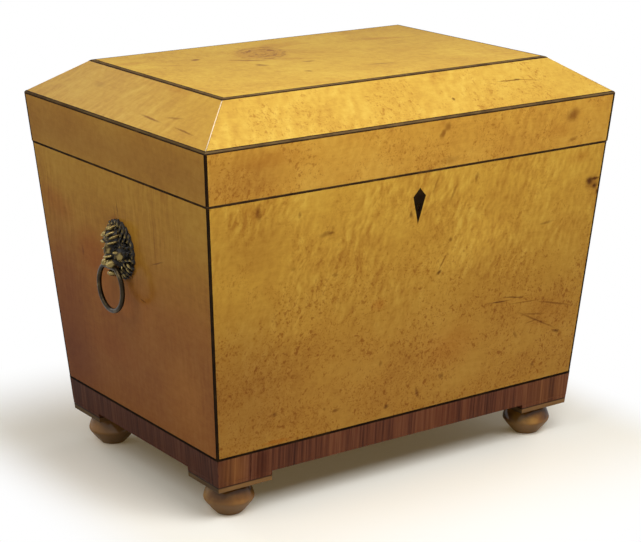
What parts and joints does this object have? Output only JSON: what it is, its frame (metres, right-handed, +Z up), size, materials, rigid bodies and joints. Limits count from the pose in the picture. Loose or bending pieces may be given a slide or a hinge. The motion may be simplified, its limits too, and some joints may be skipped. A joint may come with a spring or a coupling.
{
  "type": "antique cellarette",
  "caption": "Tapered maple-veneered bottle chest with a hinged coffered lid, ebony stringing, rosewood base band, bun feet and lion-mask ring handles.",
  "frame": {"origin": "on the floor under the middle of the case", "axes": "+Z up, the front with the keyhole faces -Y, +X to the right seen from the front"},
  "size_m": [0.5834, 0.403, 0.4673],
  "materials": {
    "maple_veneer": "french-polished bird's-eye maple, aged to golden",
    "ebony": "polished ebony stringing",
    "rosewood": "polished rosewood, grain upright",
    "light_strip": "waxed pale wood",
    "foot_wood": "turned and polished, stained maple",
    "carcase_wood": "bare planed mahogany",
    "divider_wood": "planed mahogany, waxed",
    "old_gilt_brass": "worn gilding over darkened cast brass",
    "plain_brass": "dull drawn brass"
  },
  "bodies": {
    "case": {"base_band_back": "rosewood", "base_band_front": "rosewood", "base_band_left": "rosewood", "base_band_right": "rosewood", "base_string": "ebony", "bottom_board": "carcase_wood", "bun_foot_back_left": "foot_wood", "bun_foot_back_right": "foot_wood", "bun_foot_front_left": "foot_wood", "bun_foot_front_right": "foot_wood", "case_board_back": "carcase_wood", "case_board_front": "carcase_wood", "case_board_left": "carcase_wood", "case_board_right": "carcase_wood", "case_corner_strings": "ebony", "case_hardware_screws": "plain_brass", "case_joint_string": "ebony", "case_veneer_back": "maple_veneer", "case_veneer_front": "maple_veneer", "case_veneer_left": "maple_veneer", "case_veneer_right": "maple_veneer", "divider_cross_left": "divider_wood", "divider_cross_middle": "divider_wood", "divider_cross_right": "divider_wood", "divider_long_back": "divider_wood", "divider_long_front": "divider_wood", "escutcheon": "ebony", "hinge_case_leaf_left": "plain_brass", "hinge_case_leaf_right": "plain_brass", "hinge_pins": "plain_brass", "lion_mask_left": "old_gilt_brass", "lion_mask_right": "old_gilt_brass", "lock_case": "plain_brass", "mask_screws": "plain_brass", "pad_facings": "rosewood", "pad_strips": "light_strip"},
    "lid": {"hinge_lid_leaf_left": "plain_brass", "hinge_lid_leaf_right": "plain_brass", "lid_arris_string": "ebony", "lid_corner_strings": "ebony", "lid_frieze_board_back": "carcase_wood", "lid_frieze_board_front": "carcase_wood", "lid_frieze_board_left": "carcase_wood", "lid_frieze_board_right": "carcase_wood", "lid_frieze_veneers": "maple_veneer", "lid_hardware_screws": "plain_brass", "lid_hip_board_back": "carcase_wood", "lid_hip_board_front": "carcase_wood", "lid_hip_board_left": "carcase_wood", "lid_hip_board_right": "carcase_wood", "lid_hip_veneers": "maple_veneer", "lid_joint_string": "ebony", "lid_top_board": "carcase_wood", "lid_top_string": "ebony", "lid_top_veneer": "maple_veneer", "lock_link_plate": "plain_brass"},
    "ring_left": {"ring_left": "old_gilt_brass"},
    "ring_right": {"ring_right": "old_gilt_brass"},
    "lock_bolt": {"lock_bolt": "plain_brass"}
  },
  "joints": [
    {"name": "lid_hinge", "type": "hinge", "parent": "case", "child": "lid", "pos_m": [0, 0.19684, 0.3683], "axis": [-1, 0, 0], "range_deg": [0, 100]},
    {"name": "ring_left_swing", "type": "hinge", "parent": "case", "child": "ring_left", "pos_m": [-0.28329, 0, 0.2619], "axis": [0, 1, 0], "range_deg": [-18, 120]},
    {"name": "ring_right_swing", "type": "hinge", "parent": "case", "child": "ring_right", "pos_m": [0.28329, 0, 0.2619], "axis": [0, -1, 0], "range_deg": [-18, 120]},
    {"name": "lock_bolt_slide", "type": "slide", "parent": "case", "child": "lock_bolt", "axis": [1, 0, 0], "range_m": [0, 0.008]}
  ]
}
